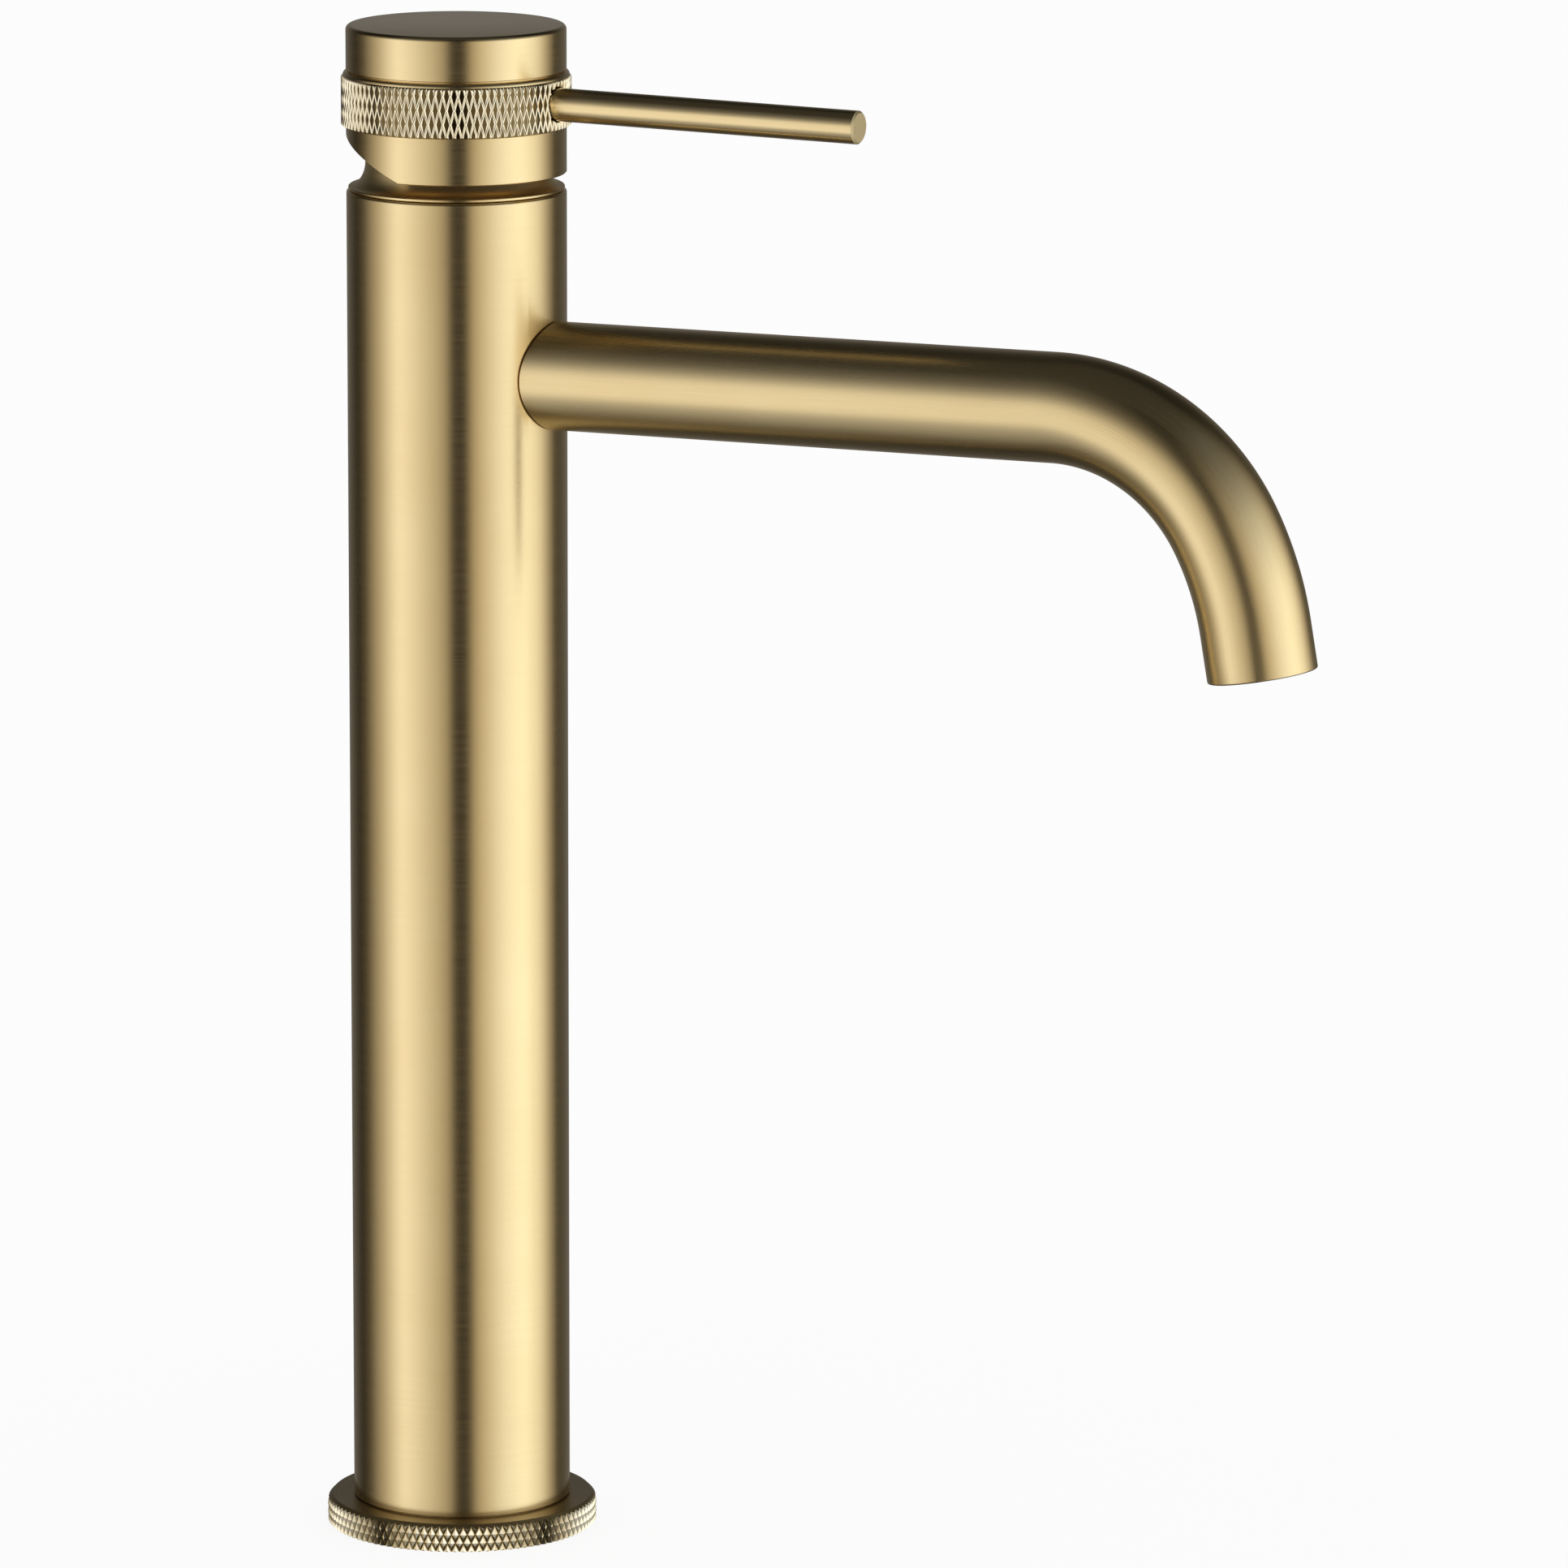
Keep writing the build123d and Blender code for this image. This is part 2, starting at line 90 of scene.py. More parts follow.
def makeCamera():
    data = bpy.data.cameras.new("camera")
    data.lens = shot["lens"]
    data.sensor_width = shot["sensor"]
    data.clip_start = shot["near"]
    data.clip_end = shot["far"]
    camera = bpy.data.objects.new("camera", data)
    bpy.context.scene.collection.objects.link(camera)
    turn = Matrix.Rotation(radians(shot["heading"]), 4, "Z")
    tilt = Matrix.Rotation(radians(90 + shot["pitch"]), 4, "X")
    roll = Matrix.Rotation(radians(shot["roll"]), 4, "Z")
    camera.matrix_world = Matrix.Translation(shot["place"]) @ turn @ tilt @ roll
    bpy.context.scene.camera = camera


studio = {
    "facing": 27.9,         # where the gap between the soft boxes points, degrees from -Y to +X
    "distance": 1.0,
    "sides": 96,
    "lowest": -4.5,
    "highest": 1.9,
    "strength": 1.52,
    # round the object: degrees from the gap, with the colour of the light that comes from there
    "round": (
        (-180, "#6a6a6c"), (-150, "#4a4a4a"), (-128, "#1e1c1a"), (-112, "#423e38"),
        (-88, "#a29d95"), (-64, "#e6e8ee"), (-25, "#b0ada6"), (-11, "#8f897f"),
        (-6, "#0e0c0b"), (9, "#0e0c0b"), (15, "#989184"), (24, "#b3ada3"),
        (48, "#e0e4eb"), (70, "#f2f8ff"), (92, "#d3d4d4"), (108, "#928c84"),
        (122, "#2b2823"), (150, "#4f4e4d"), (180, "#6a6a6c"),
    ),
    # from below to above: height in metres, with the share of that light
    "upright": (
        (-4.5, 0.16), (-1.5, 0.24), (-0.9, 0.34), (-0.55, 0.46), (-0.4, 0.66), (-0.26, 1.0),
        (0.42, 0.98), (0.56, 0.68), (0.78, 0.33), (1.1, 0.12), (1.9, 0.05),
    ),
    "overhead": 0.04,       # what the metal sees past the curtain's ends
    "floorSize": 14.0,
    "floorGlow": 0.88,
    "paper": "#585858",
    "backdrop": 0.985,      # what the camera sees past the floor
}


def fillRamp(node, stops):
    # stops: (place from 0 to 1, colour)
    ramp = node.color_ramp
    while len(ramp.elements) > 1:
        ramp.elements.remove(ramp.elements[-1])
    ramp.elements[0].position, ramp.elements[0].color = stops[0]
    for place, colour in stops[1:]:
        ramp.elements.new(place).color = colour


def stagePiece(name, corners, faces, shader):
    mesh = bpy.data.meshes.new(name)
    mesh.from_pydata(corners, [], faces)
    piece = bpy.data.objects.new(name, mesh)
    bpy.context.scene.collection.objects.link(piece)
    mesh.materials.append(shader)
    return piece


def makeSoftBoxes():
    # a round curtain of light that only the metal sees: two tall soft boxes, a dark gap between
    s = studio
    shader, tree = newMaterial("softBoxes")
    place = addNode(tree, "ShaderNodeTexCoord").outputs["Object"]
    turned = addNode(tree, "ShaderNodeVectorRotate", {"rotation_type": "Z_AXIS"}, {
        "Vector": place,
        "Angle": radians(-s["facing"]),
    })
    parts = addNode(tree, "ShaderNodeSeparateXYZ", {}, {0: turned.outputs[0]})
    front = addNode(tree, "ShaderNodeMath", {"operation": "MULTIPLY"}, {
        0: parts.outputs["Y"],
        1: -1.0,
    })
    bearing = addNode(tree, "ShaderNodeMath", {"operation": "ARCTAN2"}, {
        0: parts.outputs["X"],
        1: front.outputs[0],
    })
    sideways = addNode(tree, "ShaderNodeMapRange", {}, {
        "Value": bearing.outputs[0],
        "From Min": -pi,
        "From Max": pi,
    })
    upwards = addNode(tree, "ShaderNodeMapRange", {}, {
        "Value": parts.outputs["Z"],
        "From Min": s["lowest"],
        "From Max": s["highest"],
    })
    banks = addNode(tree, "ShaderNodeValToRGB", {}, {0: sideways.outputs[0]})
    fillRamp(banks, [((angle + 180) / 360, linear(colour)) for angle, colour in s["round"]])
    fade = addNode(tree, "ShaderNodeValToRGB", {}, {0: upwards.outputs[0]})
    tall = s["highest"] - s["lowest"]
    shares = [((z - s["lowest"]) / tall, (share, share, share, 1)) for z, share in s["upright"]]
    fillRamp(fade, shares)
    light = addNode(tree, "ShaderNodeMix", {"data_type": "RGBA", "blend_type": "MULTIPLY"}, {
        0: 1.0,
        6: banks.outputs[0],
        7: fade.outputs[0],
    })
    glow = addNode(tree, "ShaderNodeEmission", {}, {
        "Color": light.outputs[2],
        "Strength": s["strength"],
    })
    addNode(tree, "ShaderNodeOutputMaterial", {}, {"Surface": glow.outputs[0]})
    corners = []
    for k in range(s["sides"]):
        angle = 2 * pi * k / s["sides"]
        for z in (s["lowest"], s["highest"]):
            corners.append((s["distance"] * cos(angle), s["distance"] * sin(angle), z))
    faces = []
    for k in range(s["sides"]):
        n = (k + 1) % s["sides"]
        faces.append((2 * k, 2 * n, 2 * n + 1, 2 * k + 1))
    curtain = stagePiece("softBoxes", corners, faces, shader)
    curtain.visible_camera = False
    curtain.visible_diffuse = False
    curtain.visible_transmission = False
    curtain.visible_shadow = False


def makeStudio():
    world = bpy.data.worlds.new("studio")
    bpy.context.scene.world = world
    world.use_nodes = True
    tree = world.node_tree
    tree.nodes.clear()
    path = addNode(tree, "ShaderNodeLightPath")
    # what the metal sees past the ends of the curtain is dim, and everything else is white
    level = addNode(tree, "ShaderNodeMapRange", {}, {
        "Value": path.outputs["Is Glossy Ray"],
        "To Min": studio["backdrop"],
        "To Max": studio["overhead"],
    })
    white = addNode(tree, "ShaderNodeBackground", {}, {
        "Color": (1, 1, 1, 1),
        "Strength": level.outputs[0],
    })
    addNode(tree, "ShaderNodeOutputWorld", {}, {"Surface": white.outputs[0]})
    makeSoftBoxes()
    shader, tree = newMaterial("whitePaper")
    sheet = addNode(tree, "ShaderNodeBsdfDiffuse", {}, {"Color": linear(studio["paper"])})
    glow = addNode(tree, "ShaderNodeEmission", {}, {
        "Color": (1, 1, 1, 1),
        "Strength": studio["floorGlow"],
    })
    both = addNode(tree, "ShaderNodeAddShader", {}, {0: sheet.outputs[0], 1: glow.outputs[0]})
    addNode(tree, "ShaderNodeOutputMaterial", {}, {"Surface": both.outputs[0]})
    half = studio["floorSize"] / 2
    corners = [(-half, -half, 0), (half, -half, 0), (half, half, 0), (-half, half, 0)]
    floor = stagePiece("floor", corners, [(0, 1, 2, 3)], shader)
    floor.visible_glossy = False    # the metal sees the soft boxes run on below the floor
    floor.visible_shadow = False
    bpy.context.scene.view_settings.view_transform = "Standard"


finish = {
    "patch": 20,            # size in mm of the patches in which a metal's tone drifts
    "low": 0.3,             # the part of the noise that counts
    "high": 0.7,
    "spread": 0.03,         # how much the polishing lines change the roughness, either way
    "grain": 0.6,           # strength of a plastic's or rubber's texture
}


def metal(name, light, deep, roughness, lines=None, lineDepth=0.0, run="round", pits=None):
    # A metal whose tone drifts a little. lines is the width and length in mm of its fine
    # polishing lines, and lineDepth their depth. They run round the Z axis, along the X axis
    # ("along") or by the piece's own UVs in metres ("tube").
    # Its last argument paints shade into pits: a radius in mm, a depth, and the colour of the
    # painted shade that the surface darkens to as it goes that far down.
    material, tree = newMaterial(name)
    place = addNode(tree, "ShaderNodeTexCoord").outputs["Object"]
    drift = addNode(tree, "ShaderNodeTexNoise", {}, {
        "Vector": place,
        "Scale": 1000 / finish["patch"],
        "Detail": 2.0,
        "Roughness": 0.5,
    })
    tone = addNode(tree, "ShaderNodeMix", {"data_type": "RGBA"}, {
        0: drift.outputs["Fac"],
        6: linear(deep),
        7: linear(light),
    })
    surface = addNode(tree, "ShaderNodeBsdfPrincipled", {}, {
        "Base Color": tone.outputs[2],
        "Metallic": 1.0,
        "Roughness": roughness,
    })
    parts = addNode(tree, "ShaderNodeSeparateXYZ", {}, {0: place})
    flat = addNode(tree, "ShaderNodeCombineXYZ", {}, {
        "X": parts.outputs["X"],
        "Y": parts.outputs["Y"],
    })
    radius = addNode(tree, "ShaderNodeVectorMath", {"operation": "LENGTH"}, {0: flat.outputs[0]})
    # painted shade: the surface darkens towards the pit colour as the radius falls below the ridges
    if pits:
        outside, depth, colour = pits
        height = addNode(tree, "ShaderNodeMapRange", {}, {
            "Value": radius.outputs["Value"],
            "From Min": (outside - depth) * mm,
            "From Max": outside * mm,
        })
        shaded = addNode(tree, "ShaderNodeMix", {"data_type": "RGBA"}, {
            0: height.outputs[0],
            6: linear(colour),
            7: tone.outputs[2],
        })
        tree.links.new(shaded.outputs[2], surface.inputs["Base Color"])
    if lines:
        width, length = lines
        across = place
        scale = (1000 / length, 1000 / width, 1000 / width)
        if run == "tube":
            across = addNode(tree, "ShaderNodeUVMap", {"uv_map": "tube"}).outputs[0]
        if run == "round":
            across = addNode(tree, "ShaderNodeCombineXYZ", {}, {
                "X": parts.outputs["X"],
                "Y": radius.outputs["Value"],
                "Z": parts.outputs["Z"],
            }).outputs[0]
        stretch = addNode(tree, "ShaderNodeMapping", {}, {"Vector": across, "Scale": scale})
        strokes = addNode(tree, "ShaderNodeTexNoise", {}, {
            "Vector": stretch.outputs[0],
            "Scale": 1.0,
            "Detail": 3.0,
            "Roughness": 0.65,
        })
        bump = addNode(tree, "ShaderNodeBump", {}, {
            "Strength": 1.0,
            "Distance": lineDepth * mm,
            "Height": strokes.outputs["Fac"],
        })
        tree.links.new(bump.outputs[0], surface.inputs["Normal"])
        spread = addNode(tree, "ShaderNodeMapRange", {}, {
            "Value": strokes.outputs["Fac"],
            "From Min": finish["low"],
            "From Max": finish["high"],
            "To Min": roughness - finish["spread"],
            "To Max": roughness + finish["spread"],
        })
        tree.links.new(spread.outputs[0], surface.inputs["Roughness"])
    addNode(tree, "ShaderNodeOutputMaterial", {}, {"Surface": surface.outputs[0]})
    return material


def moulded(name, colour, roughness, grain, depth):
    # a plastic, rubber or ceramic: grain is the size in mm of its texture, depth its height
    material, tree = newMaterial(name)
    place = addNode(tree, "ShaderNodeTexCoord").outputs["Object"]
    noise = addNode(tree, "ShaderNodeTexNoise", {}, {
        "Vector": place,
        "Scale": 1000 / grain,
        "Detail": 2.0,
    })
    bump = addNode(tree, "ShaderNodeBump", {}, {
        "Strength": finish["grain"],
        "Distance": depth * mm,
        "Height": noise.outputs["Fac"],
    })
    surface = addNode(tree, "ShaderNodeBsdfPrincipled", {}, {
        "Base Color": linear(colour),
        "Roughness": roughness,
        "Normal": bump.outputs[0],
    })
    addNode(tree, "ShaderNodeOutputMaterial", {}, {"Surface": surface.outputs[0]})
    return material


brassTone = {
    "light": "#f0d9a5",
    "deep": "#e9cf99",
    # the knurled ribs get paler, whiter tones than the coated brass: a painted highlight on the
    # ribs
    "knurlGlintLight": "#fff5d8",
    "knurlGlintDeep": "#fdedc8",
}
coated = (brassTone["light"], brassTone["deep"])

# Coated brass, brushed round the turned pieces: soft upright bands of light, broken by fine
# level lines. The real lines are about 0.05 mm apart, and three times as coarse here, to show.
brushedBrass = metal("brushedBrass", *coated, 0.23, (0.16, 16), 0.002)
# The same brass rubbed down along the bent tube: softer still.
tubeBrass = metal("tubeBrass", *coated, 0.29, (0.25, 30), 0.0004, "tube")
# The same brass drawn along a rod: one soft line of light from end to end.
rodBrass = metal("rodBrass", *coated, 0.24, (0.25, 30), 0.0004, "along")
# The same brass on the flange's turned faces, left rougher, with fine rings; its darker colour is
# painted shade on those faces.
shadedFacedBrass = metal("shadedFacedBrass", "#a9966c", "#9f8c62", 0.4, (0.25, 14), 0.002)
# The same brass left satin, with wide and blurred lights: the bonnet's flare.
satinBrass = metal("satinBrass", *coated, 0.36, (0.25, 14), 0.001)
# The blasted end of the lever: pale and almost matt.
mattBrass = metal("mattBrass", "#f4e3b6", "#efdcab", 0.6)
# Bare machined brass inside: yellower, with sharper lights.
machinedBrass = metal("machinedBrass", "#d9b968", "#c9a650", 0.28, (0.2, 10), 0.003)
# Ground stainless steel: grey, with fine lines.
stainlessSteel = metal("stainlessSteel", "#c4c4c2", "#b4b4b2", 0.25, (0.15, 8), 0.002)
# Moulded nitrile rubber, black and dull.
nitrileRubber = moulded("nitrileRubber", "#191919", 0.6, 0.4, 0.01)
# Lapped alumina ceramic: almost white, with a clean sheen.
alumina = moulded("alumina", "#efece4", 0.18, 0.2, 0.001)
# Moulded acetal, pale grey and black: waxy, with a very fine grain.
acetal = moulded("acetal", "#c8c8c2", 0.42, 0.5, 0.006)
blackAcetal = moulded("blackAcetal", "#242424", 0.45, 0.5, 0.006)

cadFinish = {
    "base_plug": machinedBrass,
    "valve_body": machinedBrass,
    "spout_nipple": machinedBrass,
    "flange_seal": nitrileRubber,
    "port_seals": nitrileRubber,
    "disc_seals": nitrileRubber,
    "rotor_o_ring": nitrileRubber,
    "nipple_o_ring": nitrileRubber,
    "aerator_washer": nitrileRubber,
    "cartridge_base": acetal,
    "cartridge_housing": acetal,
    "cartridge_rotor": acetal,
    "disc_carrier": acetal,
    "fixed_disc": alumina,
    "moving_disc": alumina,
    "pivot_pin": stainlessSteel,
    "stem": stainlessSteel,
    "set_screw": stainlessSteel,
    "aerator_insert": blackAcetal,
}


def dressCadNodes():
    for name, material in cadFinish.items():
        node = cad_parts[name]
        for slot in node.material_slots:
            slot.material = material


def newPiece(name, bm, material):
    mesh = bpy.data.meshes.new(name)
    bm.to_mesh(mesh)
    bm.free()
    piece = bpy.data.objects.new(name, mesh)
    bpy.context.scene.collection.objects.link(piece)
    mesh.materials.clear()
    mesh.materials.append(material)
    return piece


def roundCorners(corners, steps=6):
    # corners are (r, z) or (r, z, rounding) in mm, and the outline has those corners rounded
    outline = []
    count = len(corners)
    for i, corner in enumerate(corners):
        here = Vector(corner[:2])
        size = corner[2] if len(corner) > 2 else 0
        if not size:
            outline.append(tuple(here))
            continue
        toLast = (Vector(corners[i - 1][:2]) - here).normalized()
        toNext = (Vector(corners[(i + 1) % count][:2]) - here).normalized()
        half = toLast.angle(toNext) / 2
        reach = size / tan(half)
        centre = here + (toLast + toNext).normalized() * (size / sin(half))
        start = here + toLast * reach - centre
        end = here + toNext * reach - centre
        sweep = start.angle_signed(end)
        for k in range(steps + 1):
            turned = start.copy()
            turned.rotate(Matrix.Rotation(-sweep * k / steps, 2))
            outline.append(tuple(centre + turned))
    return outline


def lathe(outline, segments=256, plane=None):
    # turns a closed outline of (r, z) in mm round the Z axis, then moves it by plane
    bm = bmesh.new()
    rings = []
    for radius, height in outline:
        if radius == 0:
            rings.append([bm.verts.new((0, 0, height * mm))])
            continue
        ring = []
        for k in range(segments):
            angle = 2 * pi * k / segments
            place = (radius * mm * cos(angle), radius * mm * sin(angle), height * mm)
            ring.append(bm.verts.new(place))
        rings.append(ring)
    for i, ring in enumerate(rings):
        other = rings[(i + 1) % len(rings)]
        if len(ring) == 1 and len(other) == 1:
            continue
        for k in range(segments):
            n = (k + 1) % segments
            if len(ring) == 1:
                bm.faces.new((ring[0], other[n], other[k]))
            elif len(other) == 1:
                bm.faces.new((ring[k], ring[n], other[0]))
            else:
                bm.faces.new((ring[k], ring[n], other[n], other[k]))
    bmesh.ops.recalc_face_normals(bm, faces=bm.faces)
    if plane is not None:
        bm.transform(plane)
    return bm


def smoothByAngle(piece, limit=30):
    # smooth faces, but with edges sharper than the limit kept crisp
    bm = bmesh.new()
    bm.from_mesh(piece.data)
    for face in bm.faces:
        face.smooth = True
    for edge in bm.edges:
        edge.smooth = len(edge.link_faces) == 2 and edge.calc_face_angle(0) < radians(limit)
    bm.to_mesh(piece.data)
    bm.free()


def booleanWith(piece, tool, operation):
    # cuts or keeps with another closed piece, which is then thrown away
    modifier = piece.modifiers.new("cut", "BOOLEAN")
    modifier.operation = operation
    modifier.solver = "EXACT"
    modifier.material_mode = "TRANSFER"     # a cut face takes the finish of the tool
    modifier.object = tool
    evaluated = piece.evaluated_get(bpy.context.evaluated_depsgraph_get())
    mesh = bpy.data.meshes.new_from_object(evaluated)
    piece.modifiers.remove(modifier)
    bm = bmesh.new()
    bm.from_mesh(mesh)
    bmesh.ops.remove_doubles(bm, verts=bm.verts, dist=weld)
    bmesh.ops.dissolve_degenerate(bm, edges=bm.edges, dist=sliver)
    bmesh.ops.holes_fill(bm, edges=[edge for edge in bm.edges if edge.is_boundary], sides=0)
    bm.to_mesh(mesh)
    bm.free()
    old = piece.data
    piece.data = mesh
    mesh.name = piece.name
    bpy.data.meshes.remove(old)
    bpy.data.objects.remove(tool)


def settle(piece, body, slotName, *nodes):
    # last step for each piece: the body it moves with, and the CAD nodes it stands for
    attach(piece, body)
    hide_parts(*nodes)
    print("made", piece.name, len(piece.data.polygons))


def sizes(node):
    # largest radius, lowest and highest point of a CAD node, in mm
    low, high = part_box(node)
    return (high[1] - low[1]) / 2 / mm, low[2] / mm, high[2] / mm


columnR, columnFoot, columnTop = sizes("column_tube")
flangeR, flangeFoot, flangeTop = sizes("base_flange")
ringR, ringFoot, ringTop = sizes("knurled_ring")
capR, capFoot, capTop = sizes("handle_cap")
spoutR = sizes("spout_tube")[0]
leverR = sizes("lever")[0]


def knurlTree(name, material):
    # turns one strip of knurl into a full ring of them
    tree = bpy.data.node_groups.new(name, "GeometryNodeTree")
    socket = tree.interface.new_socket
    socket("Geometry", in_out="INPUT", socket_type="NodeSocketGeometry")
    count = socket("Strips round", in_out="INPUT", socket_type="NodeSocketInt")
    socket("Geometry", in_out="OUTPUT", socket_type="NodeSocketGeometry")
    start = addNode(tree, "NodeGroupInput")
    line = addNode(tree, "GeometryNodeMeshLine", {"mode": "OFFSET"}, {
        "Count": start.outputs["Strips round"],
        "Offset": (0, 0, 0),
    })
    index = addNode(tree, "GeometryNodeInputIndex")
    step = addNode(tree, "ShaderNodeMath", {"operation": "DIVIDE"}, {
        0: 2 * pi,
        1: start.outputs["Strips round"],
    })
    angle = addNode(tree, "ShaderNodeMath", {"operation": "MULTIPLY"}, {
        0: index.outputs[0],
        1: step.outputs[0],
    })
    turn = addNode(tree, "ShaderNodeCombineXYZ", {}, {"Z": angle.outputs[0]})
    place = addNode(tree, "GeometryNodeInstanceOnPoints", {}, {
        "Points": line.outputs[0],
        "Instance": start.outputs["Geometry"],
        "Rotation": turn.outputs[0],
    })
    real = addNode(tree, "GeometryNodeRealizeInstances", {}, {0: place.outputs[0]})
    dress = addNode(tree, "GeometryNodeSetMaterial", {}, {
        "Geometry": real.outputs[0],
        "Material": material,
    })
    addNode(tree, "NodeGroupOutput", {}, {"Geometry": dress.outputs[0]})
    return tree, count.identifier


def knurledBrass(name, knurl, radius):
    # coated brass where it is knurled: a whiter tone as a painted highlight on the ridges, and
    # painted shade darkening it down between them
    return metal(
        name,
        brassTone["knurlGlintLight"],
        brassTone["knurlGlintDeep"],
        0.18,       # the rolled ridges are smoother than the brushed faces
        pits=(
            radius - knurl["brightTo"],
            knurl["depth"] - knurl["brightTo"],
            knurl["pitShadeColour"],
        ),
    )


def knurlStrip(knurl, radius, low, high):
    # one pitch of diamonds with their half-offset neighbours, wrapped on the cylinder
    bm = bmesh.new()
    pitch = 2 * pi / knurl["count"]
    tall = knurl["cell"]
    row = 0
    while low - tall + row * tall / 2 < high + tall:
        middle = (row % 2) * pitch / 2
        level = low - tall + row * tall / 2
        loops = []
        for share, lift in knurl["profile"]:
            corners = []
            for along, up in ((1, 0), (0, 1), (-1, 0), (0, -1)):
                angle = middle + along * share * pitch / 2
                reach = (radius + lift) * mm
                height = (level + up * share * tall / 2) * mm
                corners.append(bm.verts.new((reach * cos(angle), reach * sin(angle), height)))
            loops.append(corners)
        for outer, inner in zip(loops, loops[1:]):
            for k in range(4):
                n = (k + 1) % 4
                bm.faces.new((outer[k], outer[n], inner[n], inner[k]))
        bm.faces.new(loops[-1])
        row += 1
    return bm


def knurledBar(name, knurl, radius, low, high, material):
    # a solid bar, knurled all over, taller than the piece that is cut from it
    strip = newPiece(name, knurlStrip(knurl, radius, low, high), material)
    tree, countKey = knurlTree(name + "Tree", material)
    modifier = strip.modifiers.new("knurl", "NODES")
    modifier.node_group = tree
    modifier[countKey] = knurl["count"]
    evaluated = strip.evaluated_get(bpy.context.evaluated_depsgraph_get())
    mesh = bpy.data.meshes.new_from_object(evaluated)
    strip.modifiers.remove(modifier)
    bm = bmesh.new()
    bm.from_mesh(mesh)
    bmesh.ops.remove_doubles(bm, verts=bm.verts, dist=weld)
    middle = (low + high) / 2 * mm
    rims = [e for e in bm.edges if len(e.link_faces) == 1]
    for side in (-1, 1):
        rim = [e for e in rims if (e.verts[0].co.z > middle) == (side > 0)]
        centre = bm.verts.new((0, 0, middle + side * (high - low) * mm))
        for edge in rim:
            bm.faces.new((edge.verts[0], edge.verts[1], centre))
    bmesh.ops.recalc_face_normals(bm, faces=bm.faces)
    bm.to_mesh(mesh)
    bm.free()
    strip.data = mesh
    return strip


ringKnurl = {
    "count": 94,
    "cell": 5.73,           # height of one diamond
    # from a diamond's rim to its middle: share of its size, and height. Here they are flat pits
    # with rounded ribs round them.
    "profile": ((1.0, 0.0), (0.9, -0.03), (0.72, -0.16), (0.5, -0.36)),
    "depth": 0.36,
    "brightTo": 0.26,       # how far down the ridges stay bright
    # colour of the painted shade on the pit floors
    "pitShadeColour": "#75633f",
    "crease": 40,           # sharper edges than this many degrees stay sharp
    "shoulder": 0.85,       # smooth height above the knurl
    "shoulderSteps": 8,
    "underCap": 0.1,        # how far in from the cap's face the shoulder ends
    "footSlope": 0.7,       # rise over run of the knurl's lower end
    "bore": 21.0,
    "sides": 376,           # four to each diamond
    "leverHole": 0.32,      # gap round the lever
    "holeFrom": 10,
    "holeTo": 30,
    "holeSides": 64,
}

flangeKnurl = {
    "count": 105,
    "cell": 3.54,
    # as above, but these are small pyramids with blunt tips
    "profile": ((1.0, -0.56), (0.2, -0.04), (0.1, 0.0)),
    "depth": 0.56,
    "brightTo": 0.34,
    # colour of the painted shade on the pit floors
    "pitShadeColour": "#94804f",
    "crease": 12,
    "chamfer": 1.0,         # from the rim in to where the top turns flat
    "footChamfer": 0.22,
    "bore": 17.1,
    "sides": 420,           # four to each diamond
    "sealIn": 19.0,
    "sealOut": 26.0,
    "sealDepth": 1.5,
}


def makeKnurledRing():
    r = ringKnurl
    material = knurledBrass("knurledBrassRing", r, ringR)
    bar = knurledBar("knurledRing", r, ringR, ringFoot, ringTop, material)
    bottom = ringR - r["depth"]
    clear = ringR + cutMargin
    shoulderFoot = ringTop - r["shoulder"]
    shoulderR = capR - r["underCap"]
    outline = [
        (r["bore"], ringFoot),
        (bottom, ringFoot),
        (clear, ringFoot + (clear - bottom) * r["footSlope"]),
        (clear, shoulderFoot - (clear - bottom)),
        (bottom, shoulderFoot),
    ]
    for k in range(1, r["shoulderSteps"] + 1):
        swing = pi / 2 * k / r["shoulderSteps"]
        outline.append((
            shoulderR + (bottom - shoulderR) * cos(swing),
            ringTop - r["shoulder"] * (1 - sin(swing)),
        ))
    outline.append((r["bore"], ringTop))
    envelope = newPiece("ringEnvelope", lathe(outline, r["sides"]), brushedBrass)
    booleanWith(bar, envelope, "INTERSECT")
    holeR = leverR + r["leverHole"]
    hole = [(0, r["holeFrom"]), (holeR, r["holeFrom"]), (holeR, r["holeTo"]), (0, r["holeTo"])]
    drill = newPiece("leverHole", lathe(hole, r["holeSides"], leverPlane()), brushedBrass)
    booleanWith(bar, drill, "DIFFERENCE")
    smoothByAngle(bar, r["crease"])
    settle(bar, "handle", "knurled_brass", "knurled_ring")


def makeFlange():
    f = flangeKnurl
    material = knurledBrass("knurledBrassFlange", f, flangeR)
    bar = knurledBar("footFlange", f, flangeR, flangeFoot, flangeTop, material)
    clear = flangeR + cutMargin
    outline = [
        (f["bore"], flangeFoot),
        (f["sealIn"], flangeFoot),
        (f["sealIn"], flangeFoot + f["sealDepth"]),
        (f["sealOut"], flangeFoot + f["sealDepth"]),
        (f["sealOut"], flangeFoot),
        (flangeR - f["footChamfer"], flangeFoot),
        (clear, flangeFoot + clear - flangeR + f["footChamfer"]),
        (clear, flangeTop - clear + flangeR - f["chamfer"]),
        (flangeR - f["chamfer"], flangeTop),
        (f["bore"], flangeTop),
    ]
    # the faces cut by this envelope, the flange's top among them, take the darker brass: painted
    # shade
    envelope = newPiece("flangeEnvelope", lathe(outline, f["sides"]), shadedFacedBrass)
    booleanWith(bar, envelope, "INTERSECT")
    smoothByAngle(bar, f["crease"])
    settle(bar, "column", "knurled_brass", "base_flange")


column = {
    "wall": 2.2,
    "rimRound": 0.55,
    "boreRound": 0.2,
    "seam": 0.28,           # height of the dark line at the foot
    "seamDepth": 0.9,
    "edge": 0.12,
    "spoutHole": 8.35,
    "holeEnd": 30,          # along the spout's axis
}


